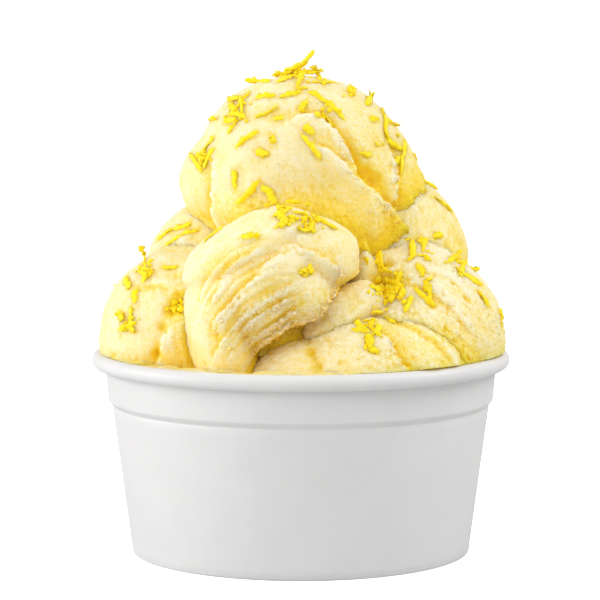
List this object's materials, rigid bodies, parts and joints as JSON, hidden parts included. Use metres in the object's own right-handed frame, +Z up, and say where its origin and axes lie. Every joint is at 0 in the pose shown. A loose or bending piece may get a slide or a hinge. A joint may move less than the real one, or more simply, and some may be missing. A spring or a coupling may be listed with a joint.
{
  "type": "sorbet cup",
  "caption": "Plain white paper cup with a rolled rim, packed and heaped with scoops of lemon sorbet under a scatter of lemon zest.",
  "frame": {"origin": "centre of the cup's foot, on the surface that it stands on", "axes": "+Z up through the heap; -Y is the front, where the ridged scoop shows; +X to the right of it"},
  "size_m": [0.092, 0.092, 0.1044],
  "materials": {
    "paperboard": "smooth white coated paperboard, low sheen",
    "sorbet": null,
    "zest": null
  },
  "bodies": {
    "root": {"cup_wall": "paperboard", "cup_base": "paperboard", "sorbet_fill": "sorbet", "scoop_top": "sorbet", "scoop_front_left": "sorbet", "scoop_front_right": "sorbet", "scoop_right": "sorbet", "scoop_left": "sorbet", "scoop_back_left": "sorbet", "scoop_back_right": "sorbet", "scoop_back": "sorbet"}
  },
  "joints": []
}
